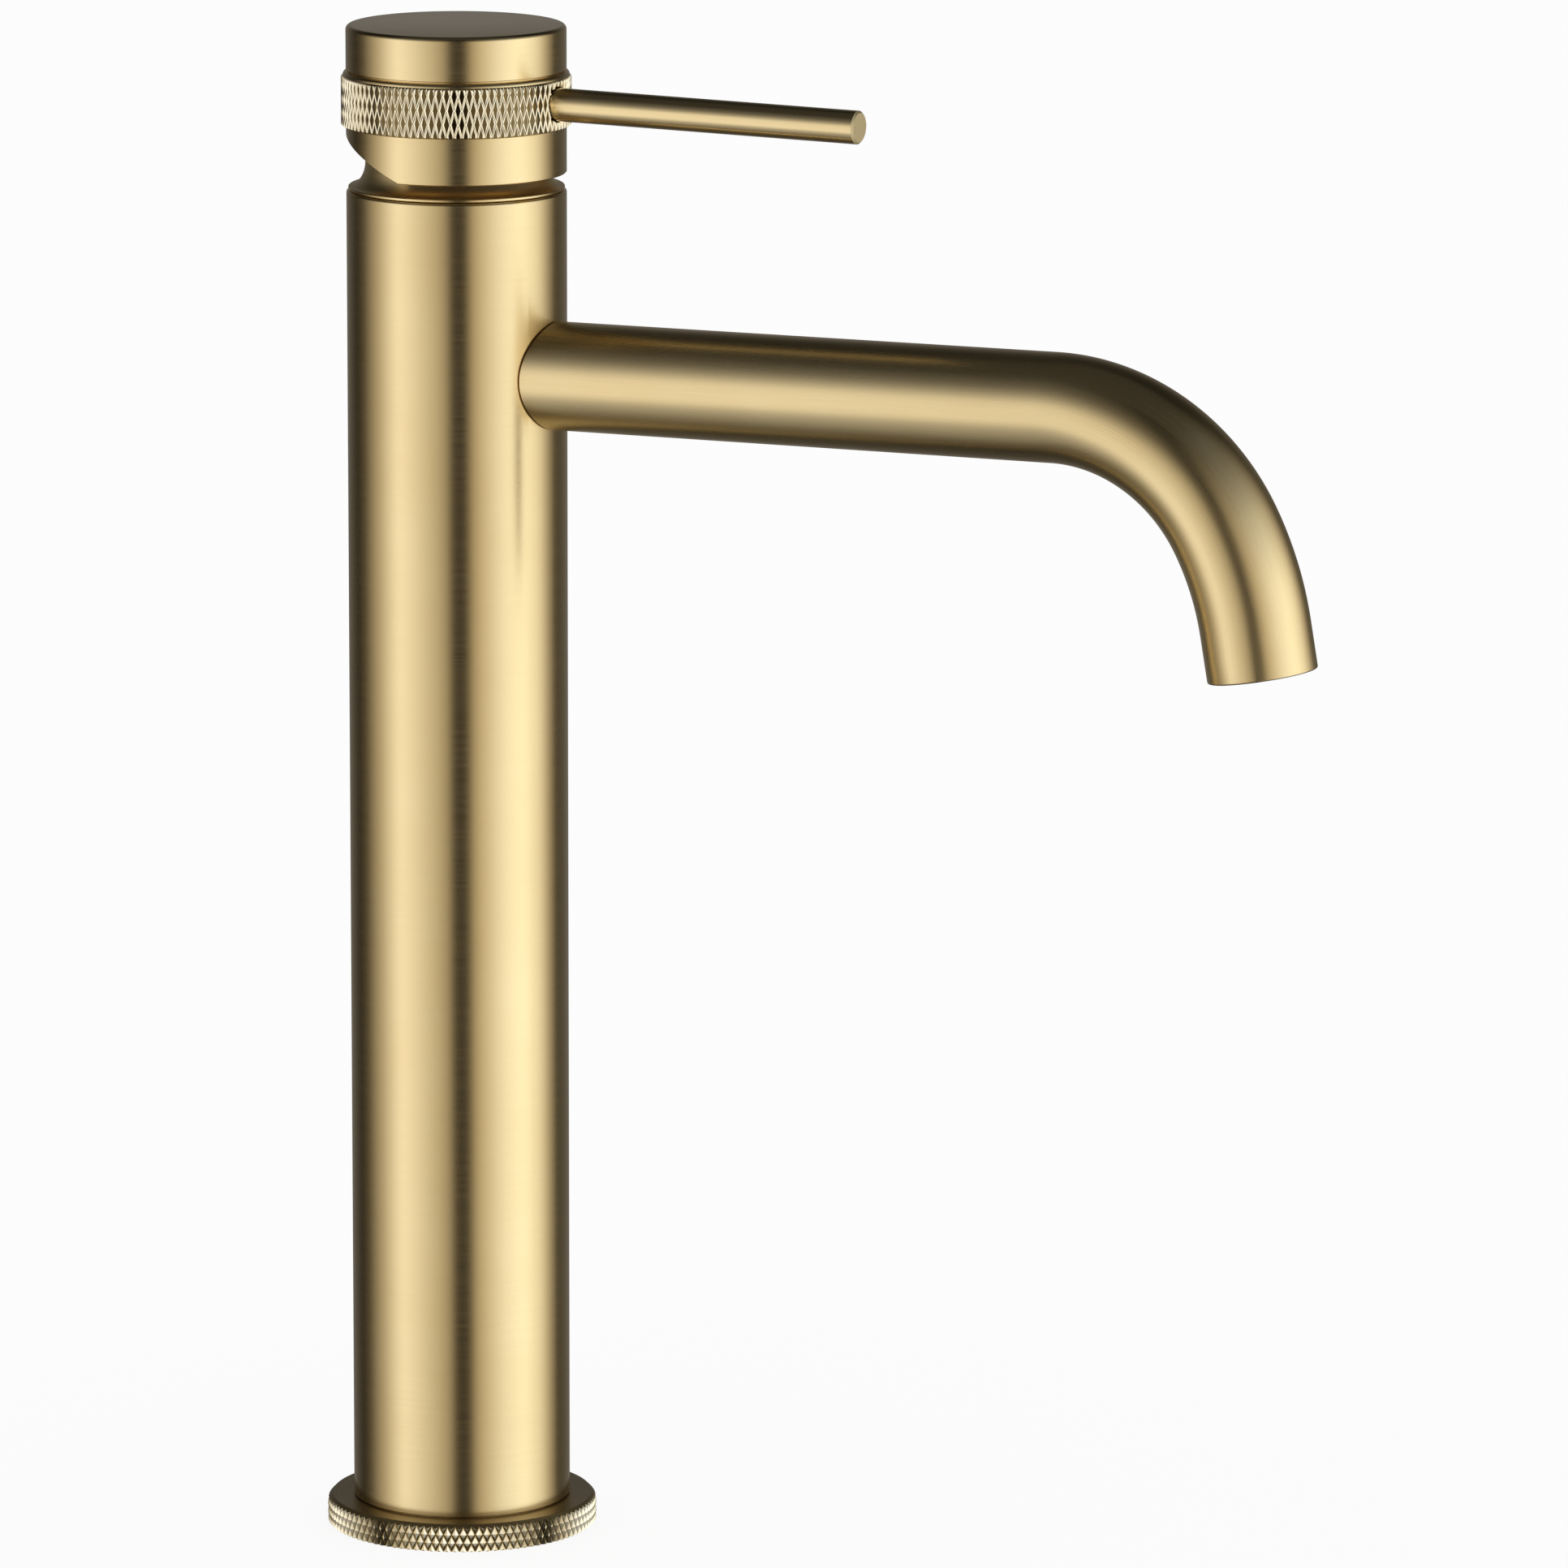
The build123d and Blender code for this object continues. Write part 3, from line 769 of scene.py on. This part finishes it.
def makeColumn():
    c = column
    inner = columnR - c["wall"]
    seamR = columnR - c["seamDepth"]
    seamTop = columnFoot + c["seam"]
    outline = roundCorners([
        (inner, columnFoot),
        (seamR, columnFoot),
        (seamR, seamTop),
        (columnR - c["edge"], seamTop),
        (columnR, seamTop + c["edge"]),
        (columnR, columnTop, c["rimRound"]),
        (inner, columnTop, c["boreRound"]),
    ])
    piece = newPiece("columnTube", lathe(outline), brushedBrass)
    hole = [(0, 0), (c["spoutHole"], 0), (c["spoutHole"], c["holeEnd"]), (0, c["holeEnd"])]
    drill = newPiece("spoutHole", lathe(hole, fineTurn, spoutPlane()), brushedBrass)
    booleanWith(piece, drill, "DIFFERENCE")
    smoothByAngle(piece)
    settle(piece, "column", "brushed_brass", "column_tube")


bonnetShape = {
    "flangeR": 22.1,
    "band": 0.6,            # height of the bonnet's upright edge
    "edge": 0.12,
    "seam": 0.2,            # gap over the column's rim, where the bonnet's edge turns under
    "seamIn": 1.0,
    "flareSteps": 16,
    "neckR": 18.6,
    "neckFoot": 285.9,
    "top": 287.4,
    "lipR": 13.4,
    "lipFoot": 285.5,
    "bore": 17.6,
    "threadR": 18.9,
    "threadFoot": 269.5,
    "topChamfer": 0.5,
}


def makeBonnet():
    b = bonnetShape
    bandFoot = columnTop + b["seam"]
    outline = [
        (b["lipR"], b["top"]),
        (b["lipR"], b["lipFoot"]),
        (b["bore"], b["lipFoot"]),
        (b["bore"], b["threadFoot"]),
        (b["threadR"], b["threadFoot"]),
        (b["threadR"], columnTop),
        (b["flangeR"] - b["seamIn"], columnTop),
        (b["flangeR"] - b["edge"], bandFoot),
        (b["flangeR"], bandFoot + b["edge"]),
        (b["flangeR"], bandFoot + b["band"] - b["edge"]),
        (b["flangeR"] - b["edge"], bandFoot + b["band"]),
    ]
    # above its upright edge the bonnet flares in, as a quarter of an ellipse down to the neck
    startR, startZ = outline[-1]
    for k in range(1, b["flareSteps"] + 1):
        swing = pi / 2 * k / b["flareSteps"]
        outline.append((
            b["neckR"] + (startR - b["neckR"]) * (1 - sin(swing)),
            b["neckFoot"] - (b["neckFoot"] - startZ) * cos(swing),
        ))
    outline.append((b["neckR"], b["top"] - b["topChamfer"]))
    outline.append((b["neckR"] - b["topChamfer"], b["top"]))
    piece = newPiece("bonnetNut", lathe(outline), satinBrass)
    piece.data.materials.append(brushedBrass)
    for face in piece.data.polygons:
        if face.center.xy.length > (b["flangeR"] - b["edge"]) * mm:
            face.material_index = 1
    smoothByAngle(piece)
    settle(piece, "column", "brushed_brass", "bonnet")


capShape = {
    "edgeRound": 1.0,
    "roundSteps": 8,
    "seam": 0.32,           # height of the dark line under the cap
    "seamDepth": 0.8,
    "edge": 0.12,
    "recessR": 15.05,
    "recessDepth": 5.2,
}


def makeCap():
    c = capShape
    outline = roundCorners([
        (0, capTop),
        (0, capFoot + c["recessDepth"]),
        (c["recessR"], capFoot + c["recessDepth"]),
        (c["recessR"], capFoot),
        (capR - c["seamDepth"], capFoot),
        (capR - c["seamDepth"], capFoot + c["seam"]),
        (capR - c["edge"], capFoot + c["seam"]),
        (capR, capFoot + c["seam"] + c["edge"]),
        (capR, capTop, c["edgeRound"]),
    ], c["roundSteps"])
    piece = newPiece("handleCap", lathe(outline), brushedBrass)
    smoothByAngle(piece)
    settle(piece, "handle", "brushed_brass", "handle_cap")


handleShape = {
    "skirtTop": 293.35,
    "coreR": 21.0,
    "spigotR": 15.0,
    "cavityR": 21.1,
    "cavityTop": 290.5,
    "roof": 295.4,
    "pivotZ": 286.0,
    "sphereR": 20.4,        # the cavity's upper part, round the pivot
    "sphereSteps": 8,
    "socketHalf": 4.05,
    "socketTop": 304.7,
    "socketBelow": 2,       # how far the socket's cutter starts below the roof
    "reliefStart": -1.1,
    "reliefAngle": 23.3,    # degrees
    "wedgeAhead": 5,        # how far the wedge reaches ahead of, behind and below the cut
    "wedgeBehind": 3,       # times the cap's radius
    "wedgeBelow": 10,
    "edge": 0.2,
}


def reliefWedge():
    # the wedge that is milled off the back, with its edge on the line where the relief starts
    h = handleShape
    foot = sizes("handle_body")[1]
    slope = tan(radians(h["reliefAngle"]))
    start = h["reliefStart"]
    back = start - h["wedgeBehind"] * capR
    section = [
        (start + h["wedgeAhead"], foot - h["wedgeAhead"] * slope),
        (back, foot + (start - back) * slope),
        (back, foot - h["wedgeBelow"]),
    ]
    bm = bmesh.new()
    near = [bm.verts.new((x * mm, -2 * capR * mm, z * mm)) for x, z in section]
    far = [bm.verts.new((x * mm, 2 * capR * mm, z * mm)) for x, z in section]
    bm.faces.new(near)
    bm.faces.new(far[::-1])
    for k in range(3):
        n = (k + 1) % 3
        bm.faces.new((near[k], far[k], far[n], near[n]))
    bmesh.ops.recalc_face_normals(bm, faces=bm.faces)
    return newPiece("reliefWedge", bm, brushedBrass)


def stemSocket():
    h = handleShape
    wide = 2 * h["socketHalf"] * mm
    tall = (h["socketTop"] - h["roof"] + h["socketBelow"]) * mm
    low = (h["roof"] - h["socketBelow"]) * mm
    bm = bmesh.new()
    bmesh.ops.create_cube(bm, size=1)
    bmesh.ops.scale(bm, vec=(wide, wide, tall), verts=bm.verts)
    bmesh.ops.translate(bm, vec=(0, 0, low + tall / 2), verts=bm.verts)
    return newPiece("stemSocket", bm, brushedBrass)


def makeHandleBody():
    h = handleShape
    foot, spigotTop = sizes("handle_body")[1:]
    first = asin((h["roof"] - h["pivotZ"]) / h["sphereR"])
    last = asin((h["cavityTop"] - h["pivotZ"]) / h["sphereR"])
    outline = [(0, h["roof"])]
    for k in range(h["sphereSteps"] + 1):
        swing = first + (last - first) * k / h["sphereSteps"]
        outline.append((h["sphereR"] * cos(swing), h["pivotZ"] + h["sphereR"] * sin(swing)))
    outline += [
        (h["cavityR"], h["cavityTop"]),
        (h["cavityR"], foot),
        (capR - h["edge"], foot),
        (capR, foot + h["edge"]),
        (capR, h["skirtTop"] - h["edge"]),
        (capR - h["edge"], h["skirtTop"]),
        (h["coreR"], h["skirtTop"]),
        (h["coreR"], ringTop),
        (h["spigotR"], ringTop),
        (h["spigotR"], spigotTop),
        (0, spigotTop),
    ]
    piece = newPiece("handleBody", lathe(outline), brushedBrass)
    booleanWith(piece, reliefWedge(), "DIFFERENCE")
    booleanWith(piece, stemSocket(), "DIFFERENCE")
    smoothByAngle(piece)
    settle(piece, "handle", "brushed_brass", "handle_body")


leverShape = {
    "droop": 0.5,           # degrees below level
    "axisZ": 298.92,
    "seat": 18.6,
    "threadStart": 10.5,
    "threadR": 2.45,
    "tip": 91.25,
    "tipChamfer": 0.42,
    "blasted": 0.5,         # faces turned to the tip by more than this cosine are matt
}


def leverPlane():
    # Z of this matrix runs from the column's axis to the lever's tip
    turn = Matrix.Rotation(radians(90 + leverShape["droop"]), 4, "Y")
    return Matrix.Translation((0, 0, leverShape["axisZ"] * mm)) @ turn


def makeLever():
    s = leverShape
    outline = roundCorners([
        (0, s["threadStart"]),
        (s["threadR"], s["threadStart"]),
        (s["threadR"], s["seat"]),
        (leverR, s["seat"]),
        (leverR, s["tip"] - s["tipChamfer"]),
        (leverR - s["tipChamfer"], s["tip"]),
        (0, s["tip"]),
    ])
    piece = newPiece("pinLever", lathe(outline, fineTurn, leverPlane()), rodBrass)
    piece.data.materials.append(mattBrass)
    axis = leverPlane().to_3x3() @ Vector((0, 0, 1))
    for face in piece.data.polygons:
        if face.normal.dot(axis) > s["blasted"]:
            face.material_index = 1
    smoothByAngle(piece)
    settle(piece, "handle", "brushed_brass", "lever")


spoutShape = {
    "axisZ": 242.74,
    "rise": 0.8,            # degrees above level
    "straight": 134.5,      # from the column's axis to the first bend
    "firstStep": 4,         # from the column's face to the first whole ring
    "straightSteps": 8,
    "bends": ((42.0, 62.4), (63.0, 18.4)),      # radius and degrees
    "bendStep": 1.6,        # degrees between rings
    "sides": 160,
    "end": 9.6,
    "wall": 1.3,
    "lip": 0.4,
    "lipSteps": 6,
    "edge": 0.12,
    "seam": 0.3,            # width of the dark line where the spout meets the column
    "seamStep": 0.75,
}


def spoutPlane():
    turn = Matrix.Rotation(radians(90 - spoutShape["rise"]), 4, "Y")
    return Matrix.Translation((0, 0, spoutShape["axisZ"] * mm)) @ turn


def spoutStations():
    # Points down the middle of the spout in mm, each with the direction that it runs in there,
    # in degrees above level. The last is the middle of the mouth.
    s = spoutShape
    angle = s["rise"]
    start = columnR + s["firstStep"]
    stations = []
    for k in range(s["straightSteps"] + 1):
        distance = start + (s["straight"] - start) * k / s["straightSteps"]
        x = distance * cos(radians(angle))
        stations.append((x, s["axisZ"] + distance * sin(radians(angle)), angle))
    x, z, angle = stations[-1]
    for bendR, bendAngle in s["bends"]:
        count = int(bendAngle / s["bendStep"])
        centreX = x + bendR * sin(radians(angle))
        centreZ = z - bendR * cos(radians(angle))
        for k in range(1, count + 1):
            now = angle - bendAngle * k / count
            x = centreX - bendR * sin(radians(now))
            stations.append((x, centreZ + bendR * cos(radians(now)), now))
        x, z, angle = stations[-1]
    ends = []
    for distance in (s["end"] / 2, s["end"] - s["lip"], s["end"]):
        ends.append((x + distance * cos(radians(angle)), z + distance * sin(radians(angle)), angle))
    return stations + ends[:2], ends[2]


def spoutRing(bm, station, radius, segments):
    x, z, angle = station
    ring = []
    for k in range(segments):
        swing = 2 * pi * k / segments
        across = radius * cos(swing)
        up = radius * sin(swing)
        ring.append(bm.verts.new((
            (x - up * sin(radians(angle))) * mm,
            across * mm,
            (z + up * cos(radians(angle))) * mm,
        )))
    return ring


def copedRing(bm, radius, reach, segments):
    # a ring of the spout's straight run that lies on an upright cylinder of the given reach
    s = spoutShape
    ring = []
    for k in range(segments):
        swing = 2 * pi * k / segments
        across = radius * cos(swing)
        up = radius * sin(swing)
        x = sqrt(reach ** 2 - across ** 2)
        along = (x + up * sin(radians(s["rise"]))) / cos(radians(s["rise"]))
        z = s["axisZ"] + along * sin(radians(s["rise"])) + up * cos(radians(s["rise"]))
        ring.append(bm.verts.new((x * mm, across * mm, z * mm)))
    return ring


def makeSpout():
    s = spoutShape
    segments = s["sides"]
    inner = spoutR - s["wall"]
    seamR = spoutR - s["seamStep"]
    seamEnd = columnR + s["seam"]
    bm = bmesh.new()
    stations, mouth = spoutStations()
    rings = [
        copedRing(bm, inner, columnR, segments),
        copedRing(bm, seamR, columnR, segments),
        copedRing(bm, seamR, seamEnd, segments),
        copedRing(bm, spoutR - s["edge"], seamEnd, segments),
        copedRing(bm, spoutR, seamEnd + s["edge"], segments),
    ]
    rings += [spoutRing(bm, station, spoutR, segments) for station in stations]
    # the mouth's rounded lip: its outer quarter, then its inner one
    x, z, angle = mouth
    lip = [(spoutR - s["lip"], 1, k) for k in range(1, s["lipSteps"] + 1)]
    lip += [(inner + s["lip"], -1, k) for k in range(s["lipSteps"], 0, -1)]
    for lipR, side, k in lip:
        swing = pi / 2 * k / s["lipSteps"]
        back = s["lip"] * (1 - sin(swing))
        place = (x - back * cos(radians(angle)), z - back * sin(radians(angle)), angle)
        rings.append(spoutRing(bm, place, lipR + side * s["lip"] * cos(swing), segments))
    rings += [spoutRing(bm, station, inner, segments) for station in reversed(stations)]
    flat = bm.loops.layers.uv.new("tube")
    along = 0.0
    for ring, other in zip(rings, rings[1:] + rings[:1]):
        reach = along + (ring[0].co - other[0].co).length
        for k in range(segments):
            n = (k + 1) % segments
            face = bm.faces.new((ring[k], ring[n], other[n], other[k]))
            corners = ((along, k), (along, k + 1), (reach, k + 1), (reach, k))
            for loop, (u, step) in zip(face.loops, corners):
                loop[flat].uv = (u, 2 * pi * spoutR * mm * step / segments)
        along = reach
    bmesh.ops.recalc_face_normals(bm, faces=bm.faces)
    piece = newPiece("spoutTube", bm, tubeBrass)
    smoothByAngle(piece)
    settle(piece, "column", "brushed_brass", "spout_tube")
    return mouth


aerator = {
    "recess": 1.0,          # how far inside the mouth it starts
    "wall": 1.7,
    "height": 8.4,
    "lipR": 7.1,
    "lipH": 1.0,
    "gap": 0.1,
    "lipRound": 0.15,
    "footRound": 0.3,
    "roundSteps": 4,
    "screenLift": 0.05,
    "ribs": 11,
    "ribWidth": 0.34,
    "ribDepth": 0.7,
    "crossLift": 0.1,       # the second layer of ribs lies this much higher
}


def outletPlane(mouth):
    # Z of this matrix runs back up the spout from the middle of its mouth
    x, z, angle = mouth
    turn = Matrix.Rotation(radians(-angle - 90), 4, "Y")
    return Matrix.Translation((x * mm, 0, z * mm)) @ turn


def gridTree(name, material):
    # a round grid of crossed ribs, each as long as the circle is wide where it lies
    tree = bpy.data.node_groups.new(name, "GeometryNodeTree")
    keys = {}
    kinds = {
        "Ribs": "NodeSocketInt",
        "Radius": "NodeSocketFloat",
        "Rib width": "NodeSocketFloat",
        "Rib depth": "NodeSocketFloat",
    }
    socket = tree.interface.new_socket
    for label, kind in kinds.items():
        keys[label] = socket(label, in_out="INPUT", socket_type=kind).identifier
    socket("Geometry", in_out="OUTPUT", socket_type="NodeSocketGeometry")
    start = addNode(tree, "NodeGroupInput").outputs
    spaces = addNode(tree, "ShaderNodeMath", {"operation": "ADD"}, {0: start["Ribs"], 1: 1.0})
    width = addNode(tree, "ShaderNodeMath", {"operation": "MULTIPLY"}, {0: start["Radius"], 1: 2.0})
    gap = addNode(tree, "ShaderNodeMath", {"operation": "DIVIDE"}, {
        0: width.outputs[0],
        1: spaces.outputs[0],
    })
    index = addNode(tree, "GeometryNodeInputIndex")
    nth = addNode(tree, "ShaderNodeMath", {"operation": "ADD"}, {0: index.outputs[0], 1: 1.0})
    shift = addNode(tree, "ShaderNodeMath", {"operation": "MULTIPLY"}, {
        0: nth.outputs[0],
        1: gap.outputs[0],
    })
    side = addNode(tree, "ShaderNodeMath", {"operation": "SUBTRACT"}, {
        0: shift.outputs[0],
        1: start["Radius"],
    })
    where = addNode(tree, "ShaderNodeCombineXYZ", {}, {"X": side.outputs[0]})
    line = addNode(tree, "GeometryNodeMeshLine", {"mode": "OFFSET"}, {
        "Count": start["Ribs"],
        "Offset": (0, 0, 0),
    })
    spread = addNode(tree, "GeometryNodeSetPosition", {}, {
        "Geometry": line.outputs[0],
        "Position": where.outputs[0],
    })
    # half a rib is the square root of radius squared less offset squared
    squareR = addNode(tree, "ShaderNodeMath", {"operation": "MULTIPLY"}, {
        0: start["Radius"],
        1: start["Radius"],
    })
    squareX = addNode(tree, "ShaderNodeMath", {"operation": "MULTIPLY"}, {
        0: side.outputs[0],
        1: side.outputs[0],
    })
    left = addNode(tree, "ShaderNodeMath", {"operation": "SUBTRACT"}, {
        0: squareR.outputs[0],
        1: squareX.outputs[0],
    })
    halfRib = addNode(tree, "ShaderNodeMath", {"operation": "SQRT"}, {0: left.outputs[0]})
    ribLength = addNode(tree, "ShaderNodeMath", {"operation": "MULTIPLY"}, {
        0: halfRib.outputs[0],
        1: 2.0,
    })
    size = addNode(tree, "ShaderNodeCombineXYZ", {}, {
        "X": start["Rib width"],
        "Y": ribLength.outputs[0],
        "Z": start["Rib depth"],
    })
    bar = addNode(tree, "GeometryNodeMeshCube", {}, {"Size": (1, 1, 1)})
    ribs = addNode(tree, "GeometryNodeInstanceOnPoints", {}, {
        "Points": spread.outputs[0],
        "Instance": bar.outputs[0],
        "Scale": size.outputs[0],
    })
    real = addNode(tree, "GeometryNodeRealizeInstances", {}, {0: ribs.outputs[0]})
    crossed = addNode(tree, "GeometryNodeTransform", {}, {
        "Geometry": real.outputs[0],
        "Rotation": (0, 0, pi / 2),
        "Translation": (0, 0, aerator["crossLift"] * mm),
    })
    both = addNode(tree, "GeometryNodeJoinGeometry")
    tree.links.new(real.outputs[0], both.inputs[0])
    tree.links.new(crossed.outputs[0], both.inputs[0])
    whole = addNode(tree, "GeometryNodeRealizeInstances", {}, {0: both.outputs[0]})
    dress = addNode(tree, "GeometryNodeSetMaterial", {}, {
        "Geometry": whole.outputs[0],
        "Material": material,
    })
    addNode(tree, "NodeGroupOutput", {}, {"Geometry": dress.outputs[0]})
    return tree, keys


def makeAerator(mouth):
    a = aerator
    plane = outletPlane(mouth)
    outer = spoutR - spoutShape["wall"] - a["gap"]
    inner = outer - a["wall"]
    top = a["recess"] + a["height"]
    outline = roundCorners([
        (a["lipR"], a["recess"], a["lipRound"]),
        (a["lipR"], a["recess"] + a["lipH"]),
        (inner, a["recess"] + a["lipH"]),
        (inner, top),
        (outer, top),
        (outer, a["recess"], a["footRound"]),
    ], a["roundSteps"])
    housing = newPiece("aeratorHousing", lathe(outline, fineTurn, plane), machinedBrass)
    smoothByAngle(housing)
    settle(housing, "column", "raw_brass", "aerator_housing")

    host = bpy.data.objects.new("aeratorScreen", bpy.data.meshes.new("aeratorScreen"))
    bpy.context.scene.collection.objects.link(host)
    tree, keys = gridTree("screenGrid", blackAcetal)
    modifier = host.modifiers.new("grid", "NODES")
    modifier.node_group = tree
    modifier[keys["Ribs"]] = a["ribs"]
    modifier[keys["Radius"]] = (inner - a["gap"]) * mm
    modifier[keys["Rib width"]] = a["ribWidth"] * mm
    modifier[keys["Rib depth"]] = a["ribDepth"] * mm
    evaluated = host.evaluated_get(bpy.context.evaluated_depsgraph_get())
    mesh = bpy.data.meshes.new_from_object(evaluated)
    host.modifiers.remove(modifier)
    lift = a["recess"] + a["lipH"] + a["ribDepth"] / 2 + a["screenLift"]
    mesh.transform(plane @ Matrix.Translation((0, 0, lift * mm)))
    host.data = mesh
    settle(host, "column", "screen_plastic", "aerator_screen")


makeCamera()
makeStudio()
dressCadNodes()
print("studio ready")
makeColumn()
makeFlange()
makeBonnet()
makeHandleBody()
makeKnurledRing()
makeCap()
makeLever()
spoutMouth = makeSpout()
makeAerator(spoutMouth)
